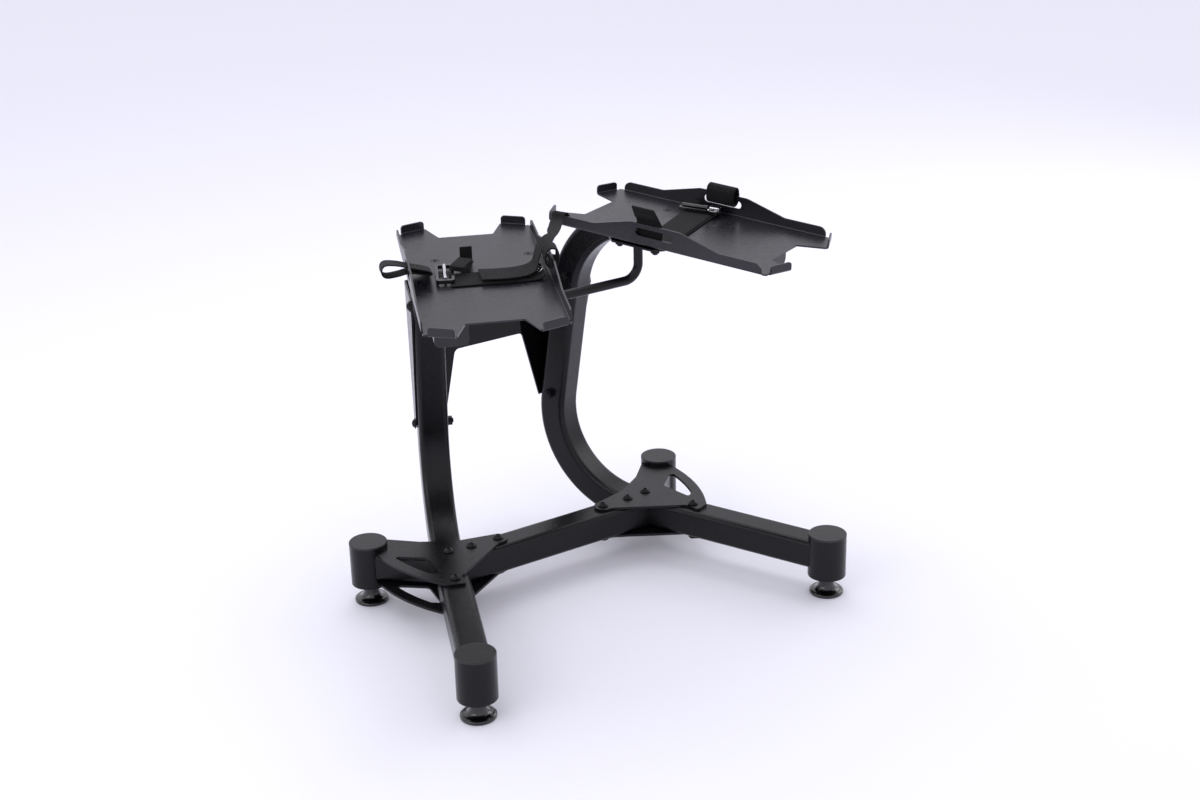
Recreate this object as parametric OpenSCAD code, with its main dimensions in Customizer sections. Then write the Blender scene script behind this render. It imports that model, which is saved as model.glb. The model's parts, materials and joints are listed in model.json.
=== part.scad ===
// Floor stand for a pair of adjustable dumbbells: two tilted trays on two bent side tubes.
// Millimetres, +Z up, front towards -Y, origin on the floor below the middle of the stand.

/* [Frame tube] */
// Width of the frame tube, across the side plane
tube_w = 48; // [44:1:50]
// Depth of the frame tube, in the side plane
tube_d = 46; // [44:1:48]
// Wall of the frame tube
tube_wall = 2; // [1.5:0.5:3]
// Corner radius of the frame tube
tube_corner = 8; // [5:1:10]

/* [Side tubes] */
// Front feet, distance from the middle of the stand
front_foot_x = 319; // [300:1:340]
// Front feet, distance in front of the beam's datum line
front_foot_y = 226; // [210:1:240]
// Angle by which each side tube turns its toe outwards
splay = 23.1; // [20:0.1:26]
// Height of the leg's centre line above the floor
leg_z = 68; // [66:1:72]
// Straight leg from the front foot to the lower bend
leg_run = 358.5; // [340:0.5:370]
// Radius of the lower bend, at the centre line
lower_bend_r = 148; // [130:1:160]
// Lower bend, from flat to leaning forward
lower_turn = 99; // [97:0.5:101]
// Straight upright between the bends
upright_run = 207; // [190:1:220]
// Radius of the upper bend, at the centre line
upper_bend_r = 142; // [130:1:150]
// Upper bend, from the upright to the arm under the tray
upper_turn = 84.8; // [83:0.1:86]
// Straight arm under the tray
arm_run = 227; // [200:1:240]

/* [Base] */
// Crossbeam's centre line, behind the datum line
beam_y = 77.5; // [74:0.5:80]
// Rear feet, distance from the middle of the stand
rear_foot_x = 279.5; // [270:0.5:290]
// Rear feet, distance behind the datum line
rear_foot_y = 177; // [170:1:185]
// Angle of the rear legs from straight back
rear_splay = 45; // [42:1:48]
// Thickness of the gusset plates
gusset_t = 4; // [3:0.5:5]

/* [Feet] */
// Outer radius of the foot housings
housing_r = 30; // [28:1:32]
// Top of the foot housings, with their caps
housing_top = 103; // [98:1:110]
// Height of a foot pad with the foot screwed right in
pad_h = 32; // [30:1:34]
// Radius of a foot pad
pad_r = 26.7; // [22:0.1:28]
// Radius of the foot's threaded stud
stud_r = 5; // [4:0.5:6]

/* [Trays] */
// Half the width of a tray, over its side flanges
tray_half_w = 101.5; // [95:0.5:108]
// Half the length of a tray at its outer corners
tray_half_l = 189; // [185:1:195]
// Half the length of a tray at the tips of its fingers
tray_tip_l = 206; // [202:1:210]
// Thickness of the tray's sheet
tray_t = 2.5; // [2:0.5:3]
// Height of the low ends of a side flange
flange_end_h = 14; // [12:1:16]
// Height of the raised middle of a side flange
flange_mid_h = 31; // [29:1:36]
// Height of the lips at the ends of a tray
lip_h = 12; // [9:1:14]

/* [Straps] */
// Width of the webbing
web_w = 48; // [40:1:50]
// Thickness of the webbing
web_t = 2; // [1.5:0.1:2.5]

/* [Hidden] */
$fn = 64;
gap = 0.05;
// The parts are drawn about the datum line of the base, and stand this far behind the origin
datum_y = -18.2;

// Side plane: X outwards from the tube's centre line, Y back from the front foot, Z up
arm_turn = lower_turn + upper_turn;
tilt = arm_turn - 180;
bend1_end = [leg_run + lower_bend_r * sin(lower_turn), leg_z + lower_bend_r * (1 - cos(lower_turn))];
bend2_start = bend1_end + upright_run * [cos(lower_turn), sin(lower_turn)];
bend2_end = bend2_start + upper_bend_r
    * [sin(arm_turn) - sin(lower_turn), cos(lower_turn) - cos(arm_turn)];
bend_draw = 0.03;
bend_lap = 1;
beam_top = leg_z + tube_d / 2;
beam_bottom = leg_z - tube_d / 2;

// Tray: U forwards along the arm, V outwards, height above the floor of the tray
tray_s = 216.5;
tray_tube_v = 56;
tray_z = bend2_end.y - (bend2_end.x - tray_s) * tan(tilt) + (tube_d / 2 + tray_t) / cos(tilt);
bend_in = 1.5;
bend_out = bend_in + tray_t;
notch_u = 162;
notch_mouth = 58;
notch_floor = 40.5;
flange_end_u = 179;
// The flange rises between these distances from its middle
rise_u = [42, 108];
slot_h = 18;
slot_len = 66;
slot_w = 12;
mount_depth = 7.6;
mount_t = 3;
mount_u = [-90, 8];
mount_v = [-97, tray_tube_v - tube_w / 2 - gap];
screw_u = [-72, -10];
inner_screw_v = -80;
screw_head_r = 7.3;
rivet_r = 5.5;

// Bolts
bolt_r = 4;
hole_r = 4.3;
head_r = 7;
head_h = 4.4;
washer_r = 8.5;
washer_t = 1.6;
nut_r = 7.5;
nut_h = 6.5;
beam_bolt_x = [100, 148.5];
beam_bolt_y = 79.4;
leg_bolt_s = [337, 245];

// Foot
foot_gap = 0.4;
cap_t = 3;
housing_wall = 3;
housing_base = 4;
insert_r = 9;
insert_h = 12;
stud_bottom = 6;
stud_top = 88;

// Bracket across the uprights
bracket_t = 3;
bracket_lean = 0.125;
bracket_s0 = 530;
bracket_z = [238, 470];
bracket_fold_x = 61.8;
flange_n = tube_w / 2 + 0.1;
lower_bolt = [507, 244.5];
upper_bolt = [466, 458];

// Straps
loop_wall = 3.4;
floor_gap = 0.4;
buckle_h = 5.5;
left_buckle_h = floor_gap + web_t + 0.4;

// Webbing that lies over the left tray's inner flange and hooks on the right tray's:
// middle of the webbing, its width, and how far its width is turned from straight ahead
hung_end = [
    [[-186, -56, 586.5], 48, -23], [[-155, -74, 586.5], 48, -23], [[-129, -81, 586.8], 48, -23],
    [[-112, -82, 590.6], 46, -23], [[-102, -71, 599], 43, -23], [[-89, -59, 610], 42, -23],
    [[-78, -61, 618.8], 42, -23], [[-69, -58, 619], 42, -23], [[-45, -20, 611], 40, -16],
    [[-20, 12, 604], 33, -4], [[5, 45, 601.5], 26, 12], [[17, 60, 602], 22, 23],
    [[22, 64.5, 609], 22, 23], [[27, 66, 610.4], 22, 23], [[31, 67, 608], 22, 23], [[34, 68, 603], 22, 23]
];
hung_t = 2.4;

// Grab bar
bar_r = 7;
bar_bend_r = 25;
bar_z = 521;

// ---- outlines ----

function unit(v) = v / norm(v);
function xy(p) = [p.x, p.y];

// Points along an arc
function arc(c, r, a0, a1, n) = [for (i = [0:n]) c + r * [cos(a0 + (a1 - a0) * i / n), sin(a0 + (a1 - a0) * i / n)]];

// Rounds the corner at q, between the edges from p and to s, to the radius r
function corner(p, q, s, r, n = 6) =
    r == 0 ? [q] : let(
        a = unit(p - q),
        b = unit(s - q),
        half = acos(a * b) / 2,
        c = q + unit(a + b) * r / sin(half),
        t0 = q + a * r / tan(half) - c,
        t1 = q + b * r / tan(half) - c,
        a0 = atan2(t0.y, t0.x),
        turn = atan2(t1.y, t1.x) - a0,
        sweep = turn > 180 ? turn - 360 : turn < -180 ? turn + 360 : turn
    ) arc(c, r, a0, a0 + sweep, n);

// A closed outline from corners given as [x, y, radius]
function rounded(pts) = [
    for (i = [0:len(pts) - 1])
        let(before = pts[(i + len(pts) - 1) % len(pts)], here = pts[i], after = pts[(i + 1) % len(pts)])
            each corner(xy(before), xy(here), xy(after), here[2])
];

module rounded_rect(w, d, r) {
    square([w - 2 * r, d], center = true);
    square([w, d - 2 * r], center = true);
    for (x = [-1, 1], y = [-1, 1]) translate([x * (w / 2 - r), y * (d / 2 - r)]) circle(r);
}

module obround(length, w) {
    square([length - w, w], center = true);
    for (x = [-1, 1]) translate([x * (length - w) / 2, 0]) circle(w / 2);
}

// ---- frames ----

module rig() {
    translate([0, datum_y, 0]) children();
}

// k = 1 draws on the right, k = -1 the mirror image on the left
module side(k) {
    if (k > 0) rig() children();
    else mirror([1, 0, 0]) rig() children();
}

module side_plane() {
    translate([front_foot_x, -front_foot_y, 0]) rotate(splay) children();
}

// Draws a flat outline (back, up) in the side plane, with its thickness outwards
module upright_view() {
    rotate([90, 0, 90]) children();
}

module tray_frame() {
    side_plane() translate([-tray_tube_v, tray_s, tray_z]) rotate(-90) rotate([0, tilt, 0]) children();
}

module at_rear_foot() {
    translate([rear_foot_x, rear_foot_y, 0]) children();
}

module at_front_foot() {
    translate([front_foot_x, -front_foot_y, 0]) children();
}

// ---- frame tube ----

function tube_outline(w, d, r) = rounded([
    [w / 2, d / 2, r], [-w / 2, d / 2, r], [-w / 2, -d / 2, r], [w / 2, -d / 2, r]
]);

// The wall is thinner by the inset on both its faces
module tube_section(inset = 0) {
    hole = 2 * (tube_wall - inset);
    difference() {
        polygon(tube_outline(tube_d - 2 * inset, tube_w - 2 * inset, tube_corner - inset));
        polygon(tube_outline(tube_d - hole, tube_w - hole, tube_corner - tube_wall));
    }
}

// Straight tube that reaches past its start and end by the lap
module run(length, before = 0, after = 0) {
    translate([-before, 0, 0]) rotate([90, 0, 90]) linear_extrude(length + before + after) tube_section();
}

// Bending draws the wall a little thinner
module bend(r, turn) {
    translate([0, r, 0]) rotate(-90) rotate_extrude(angle = turn, $fn = 96) translate([r, 0])
        tube_section(bend_draw);
}

module after_bend(r, turn) {
    translate([0, r, 0]) rotate(turn) translate([0, -r, 0]) children();
}

module bent_tube() {
    run(leg_run, 0, bend_lap);
    translate([leg_run, 0, 0]) {
        bend(lower_bend_r, lower_turn);
        after_bend(lower_bend_r, lower_turn) {
            run(upright_run, bend_lap, bend_lap);
            translate([upright_run, 0, 0]) {
                bend(upper_bend_r, upper_turn);
                after_bend(upper_bend_r, upper_turn) run(arm_run, bend_lap, 0);
            }
        }
    }
}

module side_tube(k) {
    color("#26262b") side(k) difference() {
        side_plane() difference() {
            upright_view() translate([0, leg_z, 0]) bent_tube();
            cylinder(r = housing_r + gap, h = 2 * housing_top);
            for (s = leg_bolt_s) translate([0, s, beam_bottom - 5]) cylinder(r = hole_r, h = tube_d + 10);
            upright_view() for (p = [lower_bolt, upper_bolt])
                translate([p.x, p.y, -tube_w]) cylinder(r = hole_r, h = 2 * tube_w);
        }
        tray_frame() for (u = screw_u) translate([u, tray_tube_v, -10]) cylinder(r = rivet_r + gap, h = 10);
    }
}

module crossbeam() {
    // The ends follow the inner faces of the side tubes
    inner_face = -tube_w / 2 - gap;
    color("#26262b") difference() {
        rig() difference() {
            translate([-250, beam_y, leg_z]) rotate([90, 0, 90]) linear_extrude(500)
                rotate(90) tube_section();
            for (x = beam_bolt_x, k = [-1, 1])
                translate([k * x, beam_bolt_y, beam_bottom - 5]) cylinder(r = hole_r, h = tube_d + 10);
        }
        for (k = [-1, 1]) side(k) side_plane()
            translate([inner_face, 0, 0]) cube([200, 600, 200]);
    }
}

module rear_leg_tube(k) {
    color("#26262b") side(k) difference() {
        at_rear_foot() rotate(-rear_splay) translate([0, -150, leg_z]) rotate([-90, 0, 0])
            linear_extrude(150) rotate(90) tube_section();
        at_rear_foot() cylinder(r = housing_r + gap, h = 2 * housing_top);
        side_plane() translate([tube_w / 2 + gap - 200, 0, 0]) cube([200, 600, 200]);
    }
}

// ---- feet ----

module foot_housing() {
    color("#2a2a30") difference() {
        translate([0, 0, pad_h]) cylinder(r = housing_r, h = housing_top - cap_t - pad_h);
        translate([0, 0, pad_h + housing_base]) cylinder(r = housing_r - housing_wall, h = housing_top);
        cylinder(r = stud_r + gap, h = housing_top);
    }
}

module housing_cap() {
    skirt_r = housing_r - housing_wall - gap;
    edge = 1;
    skirt_h = 11;
    skirt_t = 3;
    color("#1c1c20") rotate_extrude() polygon([
        [0, housing_top - cap_t], [0, housing_top], [housing_r - edge, housing_top],
        [housing_r, housing_top - edge], [housing_r, housing_top - cap_t],
        [skirt_r, housing_top - cap_t], [skirt_r, housing_top - cap_t - skirt_h],
        [skirt_r - skirt_t, housing_top - cap_t - skirt_h], [skirt_r - skirt_t, housing_top - cap_t]
    ]);
}

module foot_insert() {
    color("silver") difference() {
        translate([0, 0, pad_h + housing_base]) cylinder(r = insert_r, h = insert_h);
        cylinder(r = stud_r + gap, h = housing_top);
    }
}

module foot_stud() {
    color("silver") translate([0, 0, stud_bottom]) difference() {
        cylinder(r = stud_r, h = stud_top - stud_bottom);
        translate([0, 0, stud_top - stud_bottom - 5]) cylinder(r = 2.5, h = 6, $fn = 6);
    }
}

module foot_pad() {
    rim = 1.5;
    rim_top = 5.5;
    neck_r = 12.5;
    neck_top = pad_h - foot_gap;
    flare_r = 11;
    // Flat foot, rounded rim, hollow flare up to the neck
    profile = concat(
        [[0, 0]],
        arc([pad_r - rim, rim], rim, -90, 0, 4),
        arc([pad_r - rim, rim_top - rim], rim, 0, 90, 4),
        arc([neck_r + flare_r, rim_top + flare_r + 1], flare_r, 270, 180, 8),
        [[neck_r, neck_top], [0, neck_top]]
    );
    color("#0c0c0e") difference() {
        rotate_extrude() polygon(profile);
        translate([0, 0, stud_bottom - 0.1]) cylinder(r = stud_r + gap, h = pad_h);
    }
}

// ---- gusset plates ----

module gusset_outline() {
    lobe_r = 15;
    outer_c = [2, 134.4];
    outer_r = 281;
    window_r = 264;
    difference() {
        polygon(concat(
            arc([beam_bolt_x[0], beam_bolt_y], lobe_r, 108, 270, 12),
            corner([100, 64.4], [107, 64.4], [210, 3], 20),
            corner([107, 64.4], [212.5, 1.5], [215, -24], 12),
            corner([212.5, 1.5], [215, -24], [241, -15], 6),
            arc(outer_c, outer_r, -32, 4, 16),
            [[rear_foot_x, rear_foot_y]],
            [[rear_foot_x, rear_foot_y] + 25.5 * [-cos(rear_splay), sin(rear_splay)]],
            corner([261, 194.5], [207, 140.5], [165, 114], 25),
            corner([207, 140.5], [157, 109], [95, 93.6], 60)
        ));
        polygon(concat(
            corner([222, 58], [238, 21], [266, 119], 4),
            arc(outer_c, window_r, -22, -6, 10),
            corner([266, 100], [265, 119.5], [229, 90], 5),
            corner([265, 119.5], [226, 86], [221, 58], 12)
        ));
    }
}

module gusset(k, z) {
    color("#2a2a30") side(k) difference() {
        translate([0, 0, z]) linear_extrude(gusset_t) gusset_outline();
        at_rear_foot() cylinder(r = housing_r + gap, h = 2 * housing_top);
        for (x = beam_bolt_x) translate([x, beam_bolt_y, z - 1]) cylinder(r = hole_r, h = gusset_t + 2);
        side_plane() for (s = leg_bolt_s) translate([0, s, z - 1]) cylinder(r = hole_r, h = gusset_t + 2);
        bend_relief();
    }
}

// Room under the top plate where the side tube starts to bend upwards
module bend_relief() {
    side_plane() upright_view() translate([0, 0, -tube_w / 2 - gap]) linear_extrude(tube_w + 2 * gap)
        difference() {
            translate([leg_run, leg_z]) square(tube_d);
            translate([leg_run, leg_z + lower_bend_r]) circle(lower_bend_r - tube_d / 2 - gap);
        }
}

// ---- fasteners, drawn along +Z with the head's seat at 0 ----

// Button head with a hex socket, its shank running down
module button_bolt(length) {
    color("#141416") difference() {
        rotate_extrude() polygon(concat(
            [[0, -length], [bolt_r - 0.8, -length], [bolt_r, -length + 0.8], [bolt_r, 0], [head_r, 0]],
            arc([0, -3.39], head_r + 0.78, 25.8, 90, 8)
        ));
        translate([0, 0, head_h - 2.6]) cylinder(r = 2.9, h = 4, $fn = 6);
    }
}

module washer() {
    color("#18181a") difference() {
        cylinder(r = washer_r, h = washer_t);
        translate([0, 0, -1]) cylinder(r = hole_r, h = washer_t + 2);
    }
}

module hex_nut() {
    color("#18181a") difference() {
        cylinder(r = nut_r, h = nut_h, $fn = 6);
        translate([0, 0, -1]) cylinder(r = bolt_r + gap, h = nut_h + 2);
    }
}

module at_gusset_bolts(z) {
    for (k = [-1, 1]) side(k) {
        for (x = beam_bolt_x) translate([x, beam_bolt_y, z]) children();
        side_plane() for (s = leg_bolt_s) translate([0, s, z]) children();
    }
}

module gusset_bolts() {
    at_gusset_bolts(beam_top + gusset_t + washer_t)
        button_bolt(washer_t + 2 * gusset_t + tube_d + nut_h + 2);
}

module gusset_washers() {
    at_gusset_bolts(beam_top + gusset_t) washer();
}

module gusset_nuts() {
    at_gusset_bolts(beam_bottom - gusset_t - nut_h) hex_nut();
}

// ---- upper bracket ----

module bracket_wing() {
    // L-shaped sheet: the wing behind the upright, the flange on its outer face
    fold_r = 6;
    lean = atan(bracket_lean);
    out = flange_n + bracket_t;
    reach = 100;
    side_plane() translate([0, bracket_s0, 245]) rotate([-lean, 0, 0]) translate([0, 0, -60])
        linear_extrude(330) difference() {
            polygon(concat(
                [[-75, bracket_t], [-75, 0], [flange_n, 0], [flange_n, -reach], [out, -reach]],
                arc([out - fold_r, bracket_t - fold_r], fold_r, 0, 90, 8)
            ));
        }
}

module upper_bracket() {
    panel_lean = atan(bracket_lean / cos(splay));
    // Middle of the sheet at the fold, at the height of the lower bolt
    fold_y = -front_foot_y + (bracket_s0 + bracket_t / 2) / cos(splay)
        + (bracket_fold_x - front_foot_x) * tan(splay);
    color("#2a2a30") rig() difference() {
        union() {
            translate([-bracket_fold_x, fold_y, 245]) rotate([-panel_lean, 0, 0])
                translate([0, -bracket_t / 2, -60]) cube([2 * bracket_fold_x, bracket_t, 330]);
            for (k = [-1, 1]) {
                translate([k * bracket_fold_x, fold_y, 245]) rotate([-panel_lean, 0, 0])
                    translate([0, 0, -60]) cylinder(r = bracket_t / 2 + 0.05, h = 330);
                if (k > 0) bracket_half();
                else mirror([1, 0, 0]) bracket_half();
            }
        }
        // Level top, open middle and rounded leg tips
        translate([-300, 0, bracket_z[1]]) cube([600, 500, 200]);
        translate([0, 500, 0]) rotate([90, 0, 0]) linear_extrude(500) polygon(rounded([
            [-200, 100, 0], [-92, bracket_z[0] - 10, 0], [-63, 352, 9],
            [63, 352, 9], [92, bracket_z[0] - 10, 0], [200, 100, 0]
        ]));
    }
}

// Right-hand wing and flange, cut to the fold, the flange's front edge and the leg's tip
module bracket_half() {
    difference() {
        bracket_wing();
        translate([bracket_fold_x - 200, 0, 0]) cube([200, 500, 700]);
        side_plane() upright_view() translate([0, 0, -150]) linear_extrude(300) polygon([
            [380, 100], [600, 100], [600, bracket_z[0]], [505, bracket_z[0]], [494, 246],
            [452, 440], [452, 700], [380, 700]
        ]);
        side_plane() upright_view() for (p = [lower_bolt, upper_bolt])
            translate([p.x, p.y, 0]) cylinder(r = hole_r, h = tube_w);
    }
}

module at_bracket_bolts(n) {
    for (k = [-1, 1]) side(k) side_plane() upright_view() for (p = [lower_bolt, upper_bolt])
        translate([p.x, p.y, n]) children();
}

module bracket_bolts() {
    at_bracket_bolts(flange_n + bracket_t + washer_t)
        button_bolt(flange_n + bracket_t + 2 * washer_t + tube_w / 2 + nut_h + 2);
}

module bracket_washers() {
    at_bracket_bolts(flange_n + bracket_t) washer();
    at_bracket_bolts(-tube_w / 2 - washer_t) washer();
}

module bracket_nuts() {
    at_bracket_bolts(-tube_w / 2 - washer_t - nut_h) hex_nut();
}

// ---- tray mounts, grab bar and plugs ----

module tray_mount(k) {
    bottom = -tray_t - mount_depth;
    cut = 14;
    color("#26262b") side(k) tray_frame() difference() {
        translate([0, 0, bottom]) linear_extrude(mount_depth) polygon([
            [mount_u[0], mount_v[0] + cut], [mount_u[0] + cut, mount_v[0]],
            [mount_u[1] - cut, mount_v[0]], [mount_u[1], mount_v[0] + cut],
            [mount_u[1], mount_v[1]], [mount_u[0], mount_v[1]]
        ]);
        translate([mount_u[0] + mount_t, mount_v[0] - 1, bottom + mount_t])
            cube([mount_u[1] - mount_u[0] - 2 * mount_t, mount_v[1] - mount_v[0] + 2, mount_depth]);
        for (u = screw_u) translate([u, inner_screw_v, bottom - 1]) cylinder(r = hole_r, h = mount_depth);
    }
}

module grab_bar() {
    // Centre lines of the legs, below the inner edges of the tray mounts
    leg = [93.2, -42.2];
    leg_top = tray_z + 10;
    color("#26262b") difference() {
        rig() for (k = [0, 1]) mirror([k, 0, 0]) {
            translate([0, leg.y, bar_z]) rotate([0, 90, 0]) cylinder(r = bar_r, h = leg.x - bar_bend_r);
            translate([leg.x - bar_bend_r, leg.y, bar_z + bar_bend_r]) rotate([90, 0, 0]) rotate(-90)
                rotate_extrude(angle = 90) translate([bar_bend_r, 0]) circle(bar_r);
            translate([leg.x, leg.y, bar_z + bar_bend_r]) cylinder(r = bar_r, h = leg_top - bar_z - bar_bend_r);
        }
        for (k = [-1, 1]) side(k) tray_frame()
            translate([-150, -150, -tray_t - mount_depth - gap]) cube([300, 180, 60]);
    }
}

module arm_plug(k) {
    flange = 3;
    depth = 14;
    wall = 2.5;
    end = arm_run;
    w = tube_w - 2 * tube_wall - 2 * gap;
    d = tube_d - 2 * tube_wall - 2 * gap;
    r = tube_corner - tube_wall;
    color("#1c1c20") side(k) side_plane() upright_view()
        translate([bend2_end.x, bend2_end.y, 0]) rotate(arm_turn) translate([end, 0, 0])
            rotate([90, 0, 90]) {
                linear_extrude(flange) rounded_rect(tube_d, tube_w, tube_corner);
                translate([0, 0, -depth]) linear_extrude(depth) difference() {
                    rounded_rect(d, w, r);
                    rounded_rect(d - 2 * wall, w - 2 * wall, r - wall);
                }
            }
}

// ---- trays ----

// Section of a folded edge: its outer face on the line x = 0, the tray's floor at y = 0,
// with a tongue that laps into the floor
module fold_section(h, tongue) {
    intersection() {
        translate([-bend_out, bend_in]) difference() {
            circle(bend_out);
            circle(bend_in);
        }
        translate([-bend_out, -tray_t]) square([bend_out, bend_out]);
    }
    translate([-tray_t, bend_in]) square([tray_t, h - bend_in]);
    if (tongue > 0)
        translate([-bend_out - tongue, -tray_t + lip_inset])
            square([tongue + 0.5, tray_t - 2 * lip_inset]);
}

// Folded edge along +X from the origin, trimmed to an outline given as [along, up, radius]
module folded_edge(length, h, outline, tongue = 0) {
    intersection() {
        rotate([90, 0, 90]) linear_extrude(length) fold_section(h, tongue);
        rotate([90, 0, 0]) linear_extrude(4 * bend_out, center = true) polygon(rounded(outline));
    }
}

module side_flange() {
    e = flange_end_u;
    difference() {
        translate([-e, 0, 0]) folded_edge(2 * e, flange_mid_h, [
            [0, -5, 0], [0, flange_end_h, 11], [e - rise_u[1], flange_end_h, 30],
            [e - rise_u[0], flange_mid_h, 24], [e + rise_u[0], flange_mid_h, 24],
            [e + rise_u[1], flange_end_h, 30], [2 * e, flange_end_h, 11], [2 * e, -5, 0]
        ]);
        translate([0, 0, slot_h]) rotate([90, 0, 0]) linear_extrude(4 * bend_out, center = true)
            obround(slot_len, slot_w);
    }
}

// The lip's outer face runs from the finger's tip towards the tray's corner
lip_tip = [tray_tip_l, notch_mouth];
lip_corner = [tray_half_l, tray_half_w];
lip_along = unit(lip_corner - lip_tip);
lip_out = [lip_along.y, -lip_along.x];
lip_start = 1;
lip_end = norm(lip_corner - lip_tip) - 8;
lip_lap = 1.5;
lip_inset = 0.03;

module end_lip() {
    length = lip_end - lip_start;
    start = lip_tip + lip_start * lip_along;
    translate([start.x, start.y, 0]) rotate(atan2(lip_along.y, lip_along.x)) mirror([0, 1, 0])
        folded_edge(length, lip_h, [
            [0, -5, 0], [0, lip_h, 5], [length, lip_h, 5], [length, -5, 0]
        ], 2 * lip_lap);
}

module tray_floor() {
    side_v = tray_half_w - bend_out;
    tip = lip_tip - (bend_out + lip_lap) * lip_out;
    end = tip + lip_end * lip_along;
    quarter = [
        [notch_u, notch_floor, 3], [tip.x, tip.y, 0], [end.x, end.y, 0],
        [tray_half_l - 1.5, tray_half_w - 3, 3], [flange_end_u + 1.5, tray_half_w - 0.8, 2],
        [flange_end_u, side_v, 0]
    ];
    mirrored = [for (i = [5:-1:0]) [-quarter[i].x, quarter[i].y, quarter[i][2]]];
    half = concat(quarter, mirrored);
    other = [for (i = [11:-1:0]) [half[i].x, -half[i].y, half[i][2]]];
    linear_extrude(tray_t) polygon(rounded(concat(half, other)));
}

module tray(k) {
    color("#33333b") side(k) tray_frame() difference() {
        union() {
            translate([0, 0, -tray_t]) tray_floor();
            translate([0, tray_half_w, 0]) side_flange();
            translate([0, -tray_half_w, 0]) mirror([0, 1, 0]) side_flange();
            for (a = [0, 1], b = [0, 1]) mirror([a, 0, 0]) mirror([0, b, 0]) end_lip();
        }
        for (u = screw_u, v = [inner_screw_v, tray_tube_v]) translate([u, v, -tray_t - gap]) screw_sink();
    }
}

module screw_sink() {
    cylinder(r1 = hole_r, r2 = screw_head_r + gap, h = tray_t + 2 * gap);
}

// Countersunk screw, its head flush with the floor of the tray
module flat_screw(length) {
    color("#141416") difference() {
        union() {
            translate([0, 0, -length]) cylinder(r = bolt_r, h = length - tray_t + 0.01);
            translate([0, 0, -tray_t]) cylinder(r1 = bolt_r, r2 = screw_head_r - 0.3, h = tray_t);
        }
        translate([0, 0, -1.6]) cylinder(r = 2.3, h = 2, $fn = 6);
    }
}

module tray_screws() {
    for (k = [-1, 1]) side(k) tray_frame() for (u = screw_u) {
        translate([u, inner_screw_v, 0]) flat_screw(tray_t + mount_depth + nut_h + 3);
        translate([u, tray_tube_v, 0]) flat_screw(tray_t + 16);
    }
}

module tray_lock_nuts() {
    for (k = [-1, 1]) side(k) tray_frame() for (u = screw_u)
        translate([u, inner_screw_v, -tray_t - mount_depth - nut_h]) hex_nut();
}

module tray_rivet_nuts() {
    color("silver") for (k = [-1, 1]) side(k) tray_frame() for (u = screw_u)
        translate([u, tray_tube_v, -tray_t - 15]) difference() {
            union() {
                cylinder(r = rivet_r, h = 15);
                cylinder(r = rivet_r + 1.5, h = 15 - tube_wall - gap);
            }
            translate([0, 0, -1]) cylinder(r = bolt_r + gap, h = 17);
        }
}

// ---- straps and buckles, plain closed solids of the webbing's outer shape ----

// Webbing wound round a flange through its slot, u1 to u2 along the tray, on the outer (k = 1)
// or the inner flange
module flange_loop(u1, u2, k) {
    outer_w = 22;
    top = flange_mid_h + 14;
    bottom = slot_h - slot_w / 2 + 1;
    color("#1a1a1c") translate([u1, k * (tray_half_w - tray_t / 2), (top + bottom) / 2])
        rotate([90, 0, 90]) linear_extrude(u2 - u1) rotate(90) difference() {
            obround(top - bottom, outer_w);
            obround(top - bottom - 2 * loop_wall, outer_w - 2 * loop_wall);
        }
}

module right_strap_loop() {
    side(1) tray_frame() flange_loop(-25, web_w - 25, 1);
}

module left_strap_loop() {
    side(-1) tray_frame() flange_loop(-1, 26, -1);
}

// Two layers of webbing across the floor, from the buckle to the inner slot
module right_strap_band() {
    color("#1a1a1c") side(1) tray_frame() translate([0, 0, floor_gap]) linear_extrude(2 * web_t)
        polygon([[-48, 88], [2, 88], [10, 20], [22, -89], [-24, -89], [-40, 20]]);
}

// The strap's stiff end, standing at the inner flange
module right_strap_tail() {
    color("#1a1a1c") side(1) tray_frame() translate([0, -91, 0]) rotate([90, 0, 0]) linear_extrude(3.5)
        polygon([[-38, 1], [8, 1], [8, 24], [11, 28], [-8, 53], [-46, 53], [-34, 28], [-36, 20]]);
}

module buckle_frame() {
    color("#1c1c1e") linear_extrude(buckle_h) difference() {
        polygon(rounded([[31, 13, 5], [-31, 13, 5], [-31, -13, 5], [31, -13, 5]]));
        polygon(rounded([[26, 9, 2], [-26, 9, 2], [-26, -9, 2], [26, -9, 2]]));
    }
}

// Sliding bar across the frame's window
module buckle_bar() {
    color("silver") translate([-25.7, 0, 2.8]) rotate([0, 90, 0]) cylinder(r = 2.3, h = 51.4);
}

module at_right_buckle() {
    side(1) tray_frame() translate([-25, 74, 2 * web_t + floor_gap + 0.3]) rotate(12) children();
}

module at_left_buckle() {
    side(-1) tray_frame() translate([-5, 49, left_buckle_h]) rotate(4) children();
}

module left_strap_band() {
    color("#1a1a1c") side(-1) tray_frame() translate([-12, -86, floor_gap]) cube([web_w, 130, web_t]);
}

// Webbing doubled back through the outer slot
module left_strap_outer_loop() {
    color("#1a1a1c") side(-1) tray_frame() translate([-30, 0, 0]) rotate([90, 0, 90])
        linear_extrude(web_w) difference() {
            polygon(rounded([
                [66, 5, 3], [99.5, 14, 8], [113, 9.6, 20], [139, 7, 8], [139, 31, 11],
                [114, 28, 20], [100, 22.8, 12], [66, 15, 4]
            ]));
            polygon(rounded([
                [70, 8.6, 1], [99.5, 16.6, 8], [114, 12.2, 16], [136.4, 10, 6], [136.4, 28, 8],
                [115, 25.2, 20], [99.5, 20.2, 12], [70, 12.8, 1]
            ]));
        }
}

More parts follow.
